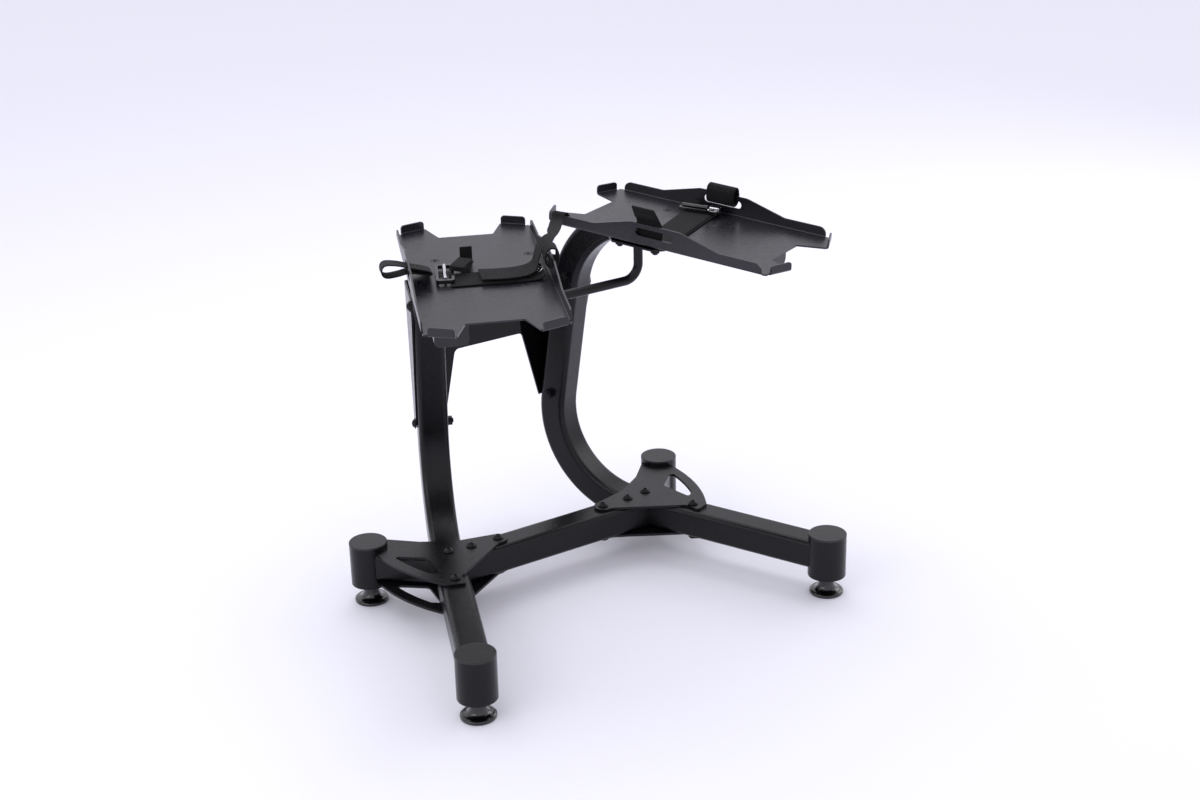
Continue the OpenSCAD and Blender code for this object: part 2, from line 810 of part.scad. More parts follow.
// Surplus webbing folded on itself beside the buckle
module left_strap_fold() {
    from = [-2, 33];
    to = [-36, 14];
    run = to - from;
    base = left_buckle_h + buckle_h + floor_gap;
    color("#1a1a1c") side(-1) tray_frame() translate([from.x, from.y, base]) rotate(atan2(run.y, run.x))
        translate([norm(run) / 2, 0, 0]) linear_extrude(8) square([norm(run), 24], center = true);
}

module left_strap_tab() {
    color("#1a1a1c") side(-1) tray_frame() translate([-53, 4, floor_gap]) cube([4, 18, 27]);
}

// Corners of the webbing's section at one place of the hung end
function hung_ring(i) = let(
    s = hung_end[i],
    ahead = hung_end[min(i + 1, len(hung_end) - 1)][0] - hung_end[max(i - 1, 0)][0],
    across = [sin(s[2]), -cos(s[2]), 0],
    up = unit(cross(ahead, across)) * hung_t / 2,
    half = across * s[1] / 2
) [s[0] - half - up, s[0] + half - up, s[0] + half + up, s[0] - half + up];

module left_strap_hung_end() {
    last = 4 * (len(hung_end) - 1);
    color("#1a1a1c") rig() polyhedron(
        points = [for (i = [0:len(hung_end) - 1]) each hung_ring(i)],
        faces = concat(
            [[0, 1, 2], [0, 2, 3], [last, last + 2, last + 1], [last, last + 3, last + 2]],
            [for (i = [0:4:last - 4], k = [0:3]) let(n = (k + 1) % 4) [i + k, i + k + 4, i + n]],
            [for (i = [0:4:last - 4], k = [0:3]) let(n = (k + 1) % 4) [i + n, i + k + 4, i + n + 4]]
        )
    );
}

// ---- the stand ----

crossbeam();
side_tube(-1);  // left_side_tube
side_tube(1);  // right_side_tube
rear_leg_tube(-1);  // left_rear_leg_tube
rear_leg_tube(1);  // right_rear_leg_tube
side(-1) at_front_foot() foot_housing();  // front_left_foot_housing
side(1) at_front_foot() foot_housing();  // front_right_foot_housing
side(-1) at_rear_foot() foot_housing();  // rear_left_foot_housing
side(1) at_rear_foot() foot_housing();  // rear_right_foot_housing
side(-1) at_front_foot() housing_cap();  // front_left_cap
side(1) at_front_foot() housing_cap();  // front_right_cap
side(-1) at_rear_foot() housing_cap();  // rear_left_cap
side(1) at_rear_foot() housing_cap();  // rear_right_cap
side(-1) at_front_foot() foot_insert();  // front_left_insert
side(1) at_front_foot() foot_insert();  // front_right_insert
side(-1) at_rear_foot() foot_insert();  // rear_left_insert
side(1) at_rear_foot() foot_insert();  // rear_right_insert
side(-1) at_front_foot() foot_stud();  // front_left_stud
side(1) at_front_foot() foot_stud();  // front_right_stud
side(-1) at_rear_foot() foot_stud();  // rear_left_stud
side(1) at_rear_foot() foot_stud();  // rear_right_stud
side(-1) at_front_foot() foot_pad();  // front_left_foot_pad
side(1) at_front_foot() foot_pad();  // front_right_foot_pad
side(-1) at_rear_foot() foot_pad();  // rear_left_foot_pad
side(1) at_rear_foot() foot_pad();  // rear_right_foot_pad
gusset(-1, beam_top);  // left_top_gusset
gusset(1, beam_top);  // right_top_gusset
gusset(-1, beam_bottom - gusset_t);  // left_bottom_gusset
gusset(1, beam_bottom - gusset_t);  // right_bottom_gusset
gusset_bolts();
gusset_washers();
gusset_nuts();
upper_bracket();
bracket_bolts();
bracket_washers();
bracket_nuts();
tray_mount(-1);  // left_tray_mount
tray_mount(1);  // right_tray_mount
grab_bar();
arm_plug(-1);  // left_arm_plug
arm_plug(1);  // right_arm_plug
tray(-1);  // left_tray
tray(1);  // right_tray
tray_screws();
tray_lock_nuts();
tray_rivet_nuts();
right_strap_loop();
right_strap_band();
right_strap_tail();
at_right_buckle() buckle_frame();  // right_buckle_frame
at_right_buckle() buckle_bar();  // right_buckle_bar
left_strap_loop();
left_strap_band();
left_strap_outer_loop();
left_strap_fold();
left_strap_tab();
left_strap_hung_end();
at_left_buckle() buckle_frame();  // left_buckle_frame
at_left_buckle() buckle_bar();  // left_buckle_bar
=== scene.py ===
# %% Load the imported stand
import json
import math

import bmesh
import bpy
import numpy as np
from mathutils import Matrix


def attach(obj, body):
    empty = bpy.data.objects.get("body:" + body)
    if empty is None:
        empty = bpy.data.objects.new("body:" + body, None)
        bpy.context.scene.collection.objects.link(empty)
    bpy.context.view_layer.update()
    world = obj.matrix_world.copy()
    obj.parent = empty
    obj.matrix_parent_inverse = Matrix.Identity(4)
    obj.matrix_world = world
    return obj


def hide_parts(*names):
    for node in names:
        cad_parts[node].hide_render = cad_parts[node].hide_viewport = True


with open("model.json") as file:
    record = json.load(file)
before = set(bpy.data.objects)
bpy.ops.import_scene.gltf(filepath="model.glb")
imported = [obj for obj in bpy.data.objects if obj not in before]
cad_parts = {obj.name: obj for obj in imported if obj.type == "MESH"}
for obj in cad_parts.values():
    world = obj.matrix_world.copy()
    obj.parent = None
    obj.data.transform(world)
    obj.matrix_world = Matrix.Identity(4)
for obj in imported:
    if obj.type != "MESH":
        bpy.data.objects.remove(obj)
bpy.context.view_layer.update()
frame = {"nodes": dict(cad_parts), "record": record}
nodes, record = frame["nodes"], frame["record"]

# %% [markdown]
# ## Camera
# A longish lens a few metres off keeps the verticals nearly parallel, as in a catalogue. The camera
# stands in front of the stand's left foot, looks down to the right and is turned a little about its
# own axis. Its axes are written out as a matrix, because a matrix can be checked by eye: right, up
# and back, each one a column.

# %% Camera
YAW, PITCH, ROLL = (math.radians(a) for a in (33.14, 22.25, -1.36))
EYE = (-1.4437, -2.3011, 1.4360)
FULL_FRAME, LENS = 36, 57.27  # millimetres of sensor width and of focal length


def camera_axes(yaw, pitch, roll):
    """Looks along yaw (from +Y to +X) and down by pitch. Right is view x Z, up is right x view,
    and both are then turned about the view by roll."""
    level = np.array([math.sin(yaw), math.cos(yaw), 0])
    view = level * math.cos(pitch) - np.array([0, 0, math.sin(pitch)])
    right = np.cross(view, (0, 0, 1))
    right /= np.linalg.norm(right)
    up = np.cross(right, view)
    c, s = math.cos(roll), math.sin(roll)
    return np.stack([c * right + s * up, c * up - s * right, -view], axis=1)


camera = bpy.data.objects.new("camera", bpy.data.cameras.new("camera"))
camera.data.sensor_width, camera.data.lens = FULL_FRAME, LENS
turn = Matrix(camera_axes(YAW, PITCH, ROLL).tolist()).to_4x4()
camera.matrix_world = Matrix.Translation(EYE) @ turn
bpy.context.scene.collection.objects.link(camera)
bpy.context.scene.camera = camera
print("camera", [round(x, 3) for x in camera.location], "lens", camera.data.lens, "mm")

# %% [markdown]
# ## Where the trays lie
# Every strap is laid out on a tray, so a tray gets its own axes: U to its front, V outwards and H
# off its floor. The record holds one point of each tray's floor and the floor's direction, and the
# rest follows by cross products. Lengths on a tray are given in millimetres, as on a drawing.

# %% Tray axes
REST_U, REST_V = 110, -10  # where on the floor the recorded point is


def tray_axes(side):
    """Origin and rows U, V, H of a tray. V is level, so it is Z x H; U is V x H. Both are mirrored
    on the left, and the origin lies back along U and V from the recorded point."""
    rest = next(m for m in record["mounts"] if m["name"] == side + "_dumbbell_rest")
    k = 1 if side == "right" else -1
    h = np.array(rest["axis"])
    v = k * np.cross((0, 0, 1), h)
    v /= np.linalg.norm(v)
    u = k * np.cross(v, h)
    axes = np.stack([u, v, h])
    return np.array(rest["pos_m"]) - np.array([REST_U, REST_V, 0]) / 1000 @ axes, axes


TRAYS = {side: tray_axes(side) for side in ("left", "right")}


def on_tray(side, points):
    """Millimetres along U, V, H to metres: origin + points times axes."""
    origin, axes = TRAYS[side]
    return origin + np.asarray(points, float) / 1000 @ axes


def along_tray(side, direction):
    return np.asarray(direction, float) @ TRAYS[side][1]


print("right tray origin", TRAYS["right"][0].round(4), "front", TRAYS["right"][1][0].round(3))

# %% [markdown]
# ## Materials: helpers
# Blender's colours are linear light, while a colour picker shows sRGB, so one function converts.
# One more adds a shader node with its settings and its inputs, which keeps each finish short enough
# to be read as a list of layers.

# %% Colour and node helpers
MM = 0.001


def linear(code):
    """sRGB hex to linear: c / 12.92 below 0.04045, else ((c + 0.055) / 1.055) to the power 2.4."""
    c = np.array([int(code[i:i + 2], 16) / 255 for i in (0, 2, 4)])
    low, high = c / 12.92, ((c + 0.055) / 1.055) ** 2.4
    return (*np.where(c <= 0.04045, low, high).tolist(), 1.0)


def feed(tree, node, inputs):
    """Each input is given a value, or linked where the value is another node's output."""
    for name, value in inputs.items():
        if isinstance(value, bpy.types.NodeSocket):
            tree.links.new(value, node.inputs[name])
        else:
            node.inputs[name].default_value = value


def add(tree, kind, inputs, **settings):
    node = tree.nodes.new(kind)
    for name, value in settings.items():
        setattr(node, name, value)
    feed(tree, node, inputs)
    return node


def new_material(name):
    """A material with nothing but a shader. Patterns lie in the piece's own coordinates."""
    material = bpy.data.materials.new(name)
    material.use_nodes = True
    tree = material.node_tree
    tree.nodes.clear()
    shader = add(tree, "ShaderNodeBsdfPrincipled", {})
    add(tree, "ShaderNodeOutputMaterial", {"Surface": shader.outputs[0]})
    return material, tree, shader, add(tree, "ShaderNodeTexCoord", {}).outputs["Object"]


def shade(tree, coords, size, low, high, detail=3.0):
    """A smooth noise of the given grain size in metres, spread between two values."""
    noise = add(tree, "ShaderNodeTexNoise", {"Vector": coords, "Scale": 1 / size, "Detail": detail})
    spread = {"From Min": 0.3, "From Max": 0.7, "To Min": low, "To Max": high}
    return add(tree, "ShaderNodeMapRange", {"Value": noise.outputs["Fac"], **spread}).outputs[0]


def between(tree, factor, dark, light):
    mix = add(tree, "ShaderNodeMix", {"Factor": factor}, data_type="RGBA")
    mix.inputs["A"].default_value, mix.inputs["B"].default_value = linear(dark), linear(light)
    return mix.outputs["Result"]


def relief(tree, height, depth):
    """Tilts the surface as a relief would whose full height is depth."""
    bump = add(tree, "ShaderNodeBump", {"Height": height, "Distance": depth, "Strength": 1.0})
    return bump.outputs["Normal"]


print("black, linear:", [round(c, 4) for c in linear("1b1b1f")[:3]])

# %% [markdown]
# ## Painted steel: powder coat
# The tubes, plates and trays are mild steel with a black polyester powder coat. The powder melts
# into a skin with a fine pebble (orange peel), which scatters the studio lights into soft bands
# and makes a lit face look speckled. The pebbles are about 0.8 mm, drawn at 1.3 mm so that they
# still show at arm's length. The coat is a plain dielectric with IOR 1.5, a little rougher where it
# is thicker. Its specular level is below the usual 0.5 on the frame, which stands in the shade of
# the trays, and the trays' coat is smoother and mirrors more. The trays' coat is also a lighter,
# violet copy of the same black: painted light for their upward faces and the room they reflect.

# %% Powder coat
def powder_coat(name, dark, light, rough, mirror, grain=1.3 * MM, depth=0.09 * MM):
    material, tree, shader, coords = new_material(name)
    feed(tree, shader, {
        "Base Color": between(tree, shade(tree, coords, 60 * MM, 0, 1), dark, light),
        "Roughness": shade(tree, coords, 9 * MM, rough - 0.04, rough + 0.04),
        "Normal": relief(tree, shade(tree, coords, grain, 0, 1, detail=1.5), depth),
        "IOR": 1.5,
        "Specular IOR Level": mirror,
    })
    return material


frame_coat = powder_coat("powder_coat_black", "08080a", "0e0e12", 0.24, 0.26)
# Painted light: the trays' base colour is lighter and violet, for their upward faces and the reflected
# room
tray_coat_painted_light = powder_coat("powder_coat_trays_painted_light", "0f0e14", "17161e", 0.3, 0.5, depth=0.035 * MM)
print("coats", frame_coat.name, tray_coat_painted_light.name)

# %% [markdown]
# ## Plastics, fasteners and bright steel
# The caps and plugs are moulded polyethylene with a spark-eroded grain, so they are matt. The feet
# are the same black but moulded in a polished tool, so they mirror the lights. Bolts are black
# oxide steel, a thin dark layer that lets some metal through. Studs and nuts inside are zinc
# plated, and the buckles' bars are polished steel.

# %% Moulded plastic and plated steel
def moulded_plastic(name, dark, light, rough, grain, depth, coat=0.0):
    """Matt to polished by its roughness; a clear coat adds the second, sharper gleam of polish."""
    material, tree, shader, coords = new_material(name)
    feed(tree, shader, {
        "Base Color": between(tree, shade(tree, coords, 25 * MM, 0, 1), dark, light),
        "Roughness": shade(tree, coords, 6 * MM, rough - 0.03, rough + 0.05),
        "Normal": relief(tree, shade(tree, coords, grain, 0, 1), depth),
        "IOR": 1.5,
        "Coat Weight": coat,
    })
    return material


def plated_steel(name, dark, light, rough, metallic=1.0, pitch=None):
    """Steel with a thin plating. Where a thread pitch is given, rings that far apart in Z."""
    material, tree, shader, coords = new_material(name)
    if pitch:
        # A wave texture repeats every 2 pi / 20 of its scaled coordinate
        wave = {"Vector": coords, "Scale": math.tau / 20 / pitch}
        height = add(tree, "ShaderNodeTexWave", wave, bands_direction="Z").outputs["Fac"]
        depth = 0.5 * MM
    else:
        height, depth = shade(tree, coords, 1.2 * MM, 0, 1), 0.02 * MM
    feed(tree, shader, {
        "Base Color": between(tree, shade(tree, coords, 4 * MM, 0, 1), dark, light),
        "Roughness": shade(tree, coords, 2 * MM, rough - 0.04, rough + 0.06),
        "Metallic": metallic,
        "Normal": relief(tree, height, depth),
    })
    return material


cap_plastic = moulded_plastic("polyethylene_grained", "0c0c0e", "131316", 0.42, 1.3 * MM, 0.06 * MM)
foot_plastic = moulded_plastic(
    "polyamide_polished", "060607", "0b0b0c", 0.14, 8 * MM, 0.01 * MM, coat=0.5)
buckle_plastic = moulded_plastic(
    "acetal_polished", "0c0c0e", "141417", 0.2, 5 * MM, 0.02 * MM, coat=0.2)
black_oxide = plated_steel("black_oxide_steel", "121214", "202023", 0.32, metallic=0.7)
zinc_plate = plated_steel("zinc_plated_steel", "8f949b", "b9bec4", 0.3)
zinc_thread = plated_steel("zinc_plated_thread", "8f949b", "b9bec4", 0.28, pitch=1.5 * MM)
bright_steel = plated_steel("polished_steel", "c2c3c8", "dcdde2", 0.14)
print("finishes", len(bpy.data.materials))

# %% [markdown]
# ## Webbing
# The straps are woven polyester webbing: thick weft ribs across the width, pushed apart by warp
# yarns that run along it. The pattern follows each strap by its UV map, which is in metres: U is
# the distance from the middle of the width, V the distance along. A rib every 2.6 mm and a warp
# yarn every 2.2 mm are about half again as coarse as the real weave, so that they show.

# %% Woven webbing
def webbing(name, dark, light, rib=2.6 * MM, yarn=2.2 * MM):
    """Height of the weave: (sin of V / rib) times (sin of U / yarn), halved and lifted to 0..1,
    with some fuzz. The hollows are painted darker than the yarns as painted shade, and worn patches
    are lighter."""
    material, tree, shader, _ = new_material(name)
    uv = add(tree, "ShaderNodeUVMap", {}, uv_map="weave").outputs["UV"]
    split = add(tree, "ShaderNodeSeparateXYZ", {"Vector": uv})

    def math_node(operation, *values):
        return add(tree, "ShaderNodeMath", dict(enumerate(values)), operation=operation).outputs[0]

    across, along = (
        math_node("SINE", math_node("MULTIPLY", split.outputs[axis], math.tau / pitch))
        for axis, pitch in (("X", yarn), ("Y", rib)))
    weave = math_node("MULTIPLY_ADD", math_node("MULTIPLY", across, along), 0.5, 0.5)
    height = math_node("ADD", weave, shade(tree, uv, 0.9 * MM, -0.25, 0.25, detail=2.0))
    # Painted shade: the colour follows the weave's height, so the hollows are darker; the large random
    # patches are wear
    weave_shade_and_wear = math_node("MULTIPLY_ADD", height, 0.6, shade(tree, uv, 30 * MM, 0.0, 0.35))
    feed(tree, shader, {
        "Base Color": between(tree, weave_shade_and_wear, dark, light),
        "Normal": relief(tree, height, 0.45 * MM),
        "Roughness": 0.8,
        "Specular IOR Level": 0.2,
        "Sheen Weight": 0.04,
        "Sheen Roughness": 0.4,
    })
    return material


strap_weave = webbing("polyester_webbing", "030303", "18181a")
thread = moulded_plastic("polyester_thread", "101011", "1d1d1f", 0.6, 0.8 * MM, 0.1 * MM)
print("weave", strap_weave.name)

# %% [markdown]
# ## Finishes on the steel and plastic parts
# The parts that come with their true shape keep it, and only get their finish. Their names say
# what they are, so a short list of words is enough to sort them.

# %% Give each part its finish
FINISH_BY_WORD = [
    ("stud", zinc_thread), ("insert", zinc_plate), ("rivet_nuts", zinc_plate),
    ("bolts", black_oxide), ("washers", black_oxide), ("nuts", black_oxide),
    ("screws", black_oxide), ("foot_pad", foot_plastic), ("cap", cap_plastic),
    ("plug", cap_plastic), ("buckle_bar", bright_steel), ("buckle_frame", buckle_plastic),
    ("tray_mount", frame_coat), ("tray", tray_coat_painted_light),
]


def finish_for(name):
    return next((finish for word, finish in FINISH_BY_WORD if word in name), frame_coat)


for name, part in nodes.items():
    part.data.materials.clear()
    part.data.materials.append(finish_for(name))
print({m.name: m.users for m in bpy.data.materials if m.users})

# %% [markdown]
# ## Surfaces from arrays
# Every new piece is a grid of points with two parameters: one runs along the piece and one round
# it. The points are worked out as whole arrays, and so are the faces, because a face only joins a
# grid point to its three neighbours.

# %% Grid to mesh
def grid_object(name, points, material, close_along=False, uv=None, caps=True):
    """points[i, j] joined to i+1 and j+1. The grid always closes round j; it closes along i, or is
    capped at both ends with a face of its own."""
    count, around = points.shape[:2]
    spans = count if close_along else count - 1
    i, j = np.meshgrid(np.arange(spans), np.arange(around), indexing="ij")
    corners = [(i, j), (i, j + 1), (i + 1, j + 1), (i + 1, j)]
    quads = np.stack([(a % count) * around + b % around for a, b in corners], axis=-1)
    faces = quads.reshape(-1, 4).tolist()
    if caps and not close_along:
        last = (count - 1) * around
        faces += [list(range(around))[::-1], [last + n for n in range(around)]]
    mesh = bpy.data.meshes.new(name)
    mesh.from_pydata(points.reshape(-1, 3).tolist(), [], faces)
    layer = mesh.uv_layers.new(name="weave")
    if uv is not None:
        flat = np.zeros((len(mesh.loops), 2))
        at_corners = np.stack([uv[a, b % around] for a, b in corners], axis=-2)
        flat[:quads.size] = at_corners.reshape(-1, 2)
        layer.data.foreach_set("uv", flat.ravel())
    finish_mesh(mesh)
    piece = bpy.data.objects.new(name, mesh)
    bpy.context.scene.collection.objects.link(piece)
    mesh.materials.append(material)
    return piece


def finish_mesh(mesh):
    """Merges points that coincide, points the faces outwards and shades smooth up to 40 degrees."""
    work = bmesh.new()
    work.from_mesh(mesh)
    bmesh.ops.remove_doubles(work, verts=work.verts, dist=1e-6)
    bmesh.ops.recalc_face_normals(work, faces=work.faces)
    work.to_mesh(mesh)
    work.free()
    mesh.polygons.foreach_set("use_smooth", np.ones(len(mesh.polygons), bool))
    mesh.set_sharp_from_angle(angle=math.radians(40))


def settle(piece, *replaced, slot):
    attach(piece, "stand")
    if replaced:
        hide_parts(*replaced)
    return piece


print("grid helpers ready")

# %% [markdown]
# ## How webbing is drawn
# Webbing bends easily one way and hardly at all the other, so a strap is a flat section carried
# along a path. The path is a few points, rounded by cutting its corners four times, which is how a
# soft strap takes a corner. The section has half-round edges, as the selvedge does.

# %% Path and ribbon
# Thickness of the webbing: lying loose, pressed in a hem, pulled round a tight turn
WEBBING, HEM, TURN = 1.9 * MM, 1.5 * MM, 1.6 * MM


def rounded_path(points, closed=False, times=4):
    """Corner cutting: each pass replaces an edge by its points at 1/4 and 3/4 (Chaikin)."""
    p = np.asarray(points, float)
    for _ in range(times):
        a, b = (p, np.roll(p, -1, axis=0)) if closed else (p[:-1], p[1:])
        cut = np.stack([0.75 * a + 0.25 * b, 0.25 * a + 0.75 * b], axis=1).reshape(-1, p.shape[1])
        p = cut if closed else np.vstack([p[:1], cut, p[-1:]])
    return p


def even(path, step, closed=False):
    """The same path with points evenly spaced along its length, by linear interpolation."""
    p = np.vstack([path, path[:1]]) if closed else path
    far = np.concatenate([[0], np.cumsum(np.linalg.norm(np.diff(p[:, :3], axis=0), axis=1))])
    at = np.linspace(0, far[-1], max(int(far[-1] / step), 8) + 1)
    out = np.stack([np.interp(at, far, p[:, c]) for c in range(p.shape[1])], axis=1)
    return (out[:-1], far[-1]) if closed else (out, far[-1])


def ribbon_section(thick, flat_points=9, arc_points=5):
    """Across (-1..1) and up (metres) round the section: two flats and two half-round edges."""
    flat, zero, one = np.linspace(-1, 1, flat_points), np.zeros(flat_points), np.ones(arc_points)
    turn = np.linspace(90, -90, arc_points + 2)[1:-1] * math.pi / 180
    c, s, edge = thick / 2 * np.cos(turn), thick / 2 * np.sin(turn), thick / 2
    across = np.concatenate([flat, one, flat[::-1], -one])
    beyond = np.concatenate([zero, c, zero, -c])
    up = np.concatenate([zero + edge, s, zero - edge, -s])
    return across, beyond, up


def ribbon(name, path, across, width, thick=WEBBING, closed=False, step=1.6 * MM):
    """Section point = path + across * (width / 2 - thick / 2) * s + across * beyond + normal * up,
    with the normal = tangent x across. path, across and width are sampled at the same places.
    Gives the piece, its flat size and the sampled path with its directions."""
    data = np.hstack([path, across, np.asarray(width, float).reshape(-1, 1)])
    data, length = even(data, step, closed)
    p, side, wide = data[:, :3], data[:, 3:6], data[:, 6:7]
    side = side / np.linalg.norm(side, axis=1, keepdims=True)
    tangent = np.roll(p, -1, axis=0) - np.roll(p, 1, axis=0) if closed else np.gradient(p, axis=0)
    up = np.cross(tangent, side)
    up /= np.linalg.norm(up, axis=1, keepdims=True)
    s, beyond, lift = ribbon_section(thick)
    reach = (wide - thick) / 2 * s + beyond
    points = p[:, None] + side[:, None] * reach[..., None] + up[:, None] * lift[None, :, None]
    rows = len(p) + (1 if closed else 0)
    v = np.linspace(0, length, rows)[:, None] * np.ones(len(s))
    u = np.vstack([reach, reach[:1]]) if closed else reach
    uv = np.stack([u, v], axis=-1)
    piece = grid_object(name, points, strap_weave, close_along=closed, uv=uv)
    faces = len(piece.data.polygons)
    print(f"{name}: {length / MM:.0f} mm of {wide.mean() / MM:.0f} mm webbing, {faces} faces")
    return piece, (float(wide.mean()), float(length)), (p, side, up)


def tray_strap(name, side, stations, across=(1, 0, 0), closed=False, thick=WEBBING):
    """Stations are U, V, H, width in millimetres on a tray; across is along the tray too."""
    path = rounded_path(stations, closed)
    where = on_tray(side, path[:, :3])
    direction = np.tile(along_tray(side, across), (len(path), 1))
    return ribbon(name, where, direction, path[:, 3] * MM, thick, closed)


def declare(piece, node):
    """A strap takes the place of its plain solid."""
    settle(piece, node, slot="webbing")


print("ribbon section of", len(ribbon_section(WEBBING)[0]), "points")

# %% [markdown]
# ## Right strap: across the floor
# The right strap comes out of the loop on the outer flange, crosses the tray in two layers and
# turns back at the inner slot. It is one path, out and back, with a small round fold.

# %% Right strap across the floor
band, flat, band_frame = tray_strap("right_strap_floor", "right", [
    (-23, 87, 1.5, 49), (-18, 40, 1.4, 48), (-8, -40, 1.4, 47), (-1, -84, 1.5, 45),
    (-1, -89.5, 1.5, 45), (-1, -89.5, 3.5, 45),
    (-1, -84, 3.4, 45), (-9, -40, 3.4, 46), (-20, 40, 3.4, 47), (-26, 87, 3.5, 47),
])
declare(band, "right_strap_band")

# %% [markdown]
# ## Loops through the slots
# The webbing is wound twice round the flange through its slot, and lies in two layers. On a section
# across the flange that is a spiral whose middle is stretched upwards. The stretch grows smoothly
# with the height, by a hyperbolic tangent, so the loop has no corners.

# %% Loops through the slots
def wound_loop(name, side, v, h, u_from, u_to, turns=2.0, inner=8.5, outer=10.1, stretch=5.0):
    """Radius grows evenly from inner to outer with the angle a: V = v + r cos a,
    H = h + r sin a + stretch * tanh(3 sin a)."""
    a = np.linspace(0.15, turns * math.tau + 0.15, 160)
    r = np.linspace(inner, outer, len(a))
    path = np.stack([
        0 * a + (u_from + u_to) / 2 + 0.5 * np.sin(a / 2),
        v + r * np.cos(a),
        h + r * np.sin(a) + stretch * np.tanh(3 * np.sin(a)),
    ], axis=1)
    direction = np.tile(along_tray(side, (1, 0, 0)), (len(a), 1))
    width = np.full(len(a), (u_to - u_from - 1) * MM)
    return ribbon(name, on_tray(side, path), direction, width, TURN)


LOOP_H, FLANGE_V = 29, 100.25  # middle of the slot's lip: height and distance from the tray's middle
loop, flat, loop_frame = wound_loop("right_strap_anchor", "right", FLANGE_V, LOOP_H, -25, 23)
declare(loop, "right_strap_loop")
loop, flat, left_loop_frame = wound_loop("left_strap_anchor", "left", -FLANGE_V, LOOP_H, -1, 26)
declare(loop, "left_strap_loop")

# %% [markdown]
# ## Right strap: its stiff end
# The cut end of the right strap stands up at the inner flange. It rises out of the fold, leans back
# and is hemmed: its last centimetre and a half is turned behind itself and sewn down.

# %% Right strap's standing end
tail, flat, tail_frame = tray_strap("right_strap_end", "right", [
    (-15, -92.1, 1.6, 45), (-14.5, -92.1, 14, 45), (-12.5, -92.1, 27, 45), (-19, -92.2, 39, 41),
    (-27, -92.2, 52.2, 38), (-27, -94.1, 52.2, 38), (-22, -94.0, 43, 40), (-19, -94.0, 37, 40),
], thick=HEM)
declare(tail, "right_strap_tail")

# %% [markdown]
# ## Left strap
# The left strap is undone. Its first length lies on the tray and rises to the inner slot, its
# surplus is folded on itself beside the buckle, one end stands up, and a flattened loop sticks out
# of the outer slot. The webbing's own stiffness holds that loop open, and a slight twist tips its
# front edge up.

# %% Left strap on its tray
band, flat, left_frame = tray_strap("left_strap_floor", "left", [
    (12, 43, 1.5, 47), (12, 0, 1.4, 47), (12, -55, 1.4, 47), (12, -74, 1.6, 47), (12, -82, 3.6, 47),
    (12, -88.6, 8.2, 46),
])
declare(band, "left_strap_band")

loop, flat, outer_frame = tray_strap("left_strap_outer_end", "left", [
    (-6, 68, 6.6, 47), (-6, 99.5, 15.4, 47), (-6, 113.5, 10.9, 47), (-6, 138, 8.2, 47),
    (-6, 138, 29.4, 47), (-6, 114.5, 26.8, 47), (-6, 99.8, 21.6, 47), (-6, 68, 13.9, 47),
], across=(0.975, 0, 0.22), closed=True)
declare(loop, "left_strap_outer_loop")

fold, flat, fold_frame = tray_strap("left_strap_surplus", "left", [
    (-3, 32.5, 9.9, 23), (-35, 14.5, 9.9, 23), (-35, 14.5, 12.6, 22.5), (-4, 32, 12.6, 22.5),
    (-4, 32, 15.3, 22), (-33, 15.6, 15.3, 22),
], across=(-19 / 39, 34 / 39, 0))
declare(fold, "left_strap_fold")

tab, flat, tab_frame = tray_strap("left_strap_standing_end", "left", [
    (-52, 13, 1.4, 17.6), (-52, 13, 26.4, 17.6), (-50, 13, 26.4, 17.6), (-50, 13, 1.4, 17.6),
], across=(0, 1, 0), thick=TURN)
declare(tab, "left_strap_tab")

# %% [markdown]
# ## Left strap: the hung end
# The free end of the left strap leaves the tray over its inner flange, sags across the gap and
# hooks over the corner of the right tray's inner flange. It turns as it goes, so each station has
# its own width and its own direction across. These stations are in millimetres on the stand.

# %% Hung end
HUNG = np.array([  # x, y, z, width, and the turn of the direction across in degrees
    (-186, -74.2, 586.5, 48, -23), (-155, -92.2, 586.5, 48, -23), (-129, -99.2, 586.8, 48, -23),
    (-112, -100.2, 590.6, 46, -23), (-102, -89.2, 599, 43, -23), (-89, -77.2, 610, 42, -23),
    (-78, -79.2, 618.8, 42, -23), (-69, -76.2, 619, 42, -23), (-45, -38.2, 611, 40, -16),
    (-20, -6.2, 604, 33, -4), (5, 26.8, 601.5, 26, 12), (17, 41.8, 602, 22, 23),
    (22, 46.3, 609, 22, 23), (27, 47.8, 610.4, 22, 23), (31, 48.8, 608, 22, 23),
    (34, 49.8, 603, 22, 23),
])
hung = rounded_path(HUNG, times=3)
turned = np.radians(hung[:, 4])
hung_across = np.stack([np.sin(turned), -np.cos(turned), 0 * turned], axis=1)
end, flat, hung_frame = ribbon("left_strap_hung", hung[:, :3] * MM, hung_across, hung[:, 3] * MM)
declare(end, "left_strap_hung_end")

# %% [markdown]
# ## Stitches
# Where webbing is doubled it is sewn, in rows that run across it and along its edges. A stitch is
# a short thread lying on the weave: a little pod, thick in the middle, pointed at both ends. There
# are many of them, so one pod with few faces is copied by adding its points to each place.

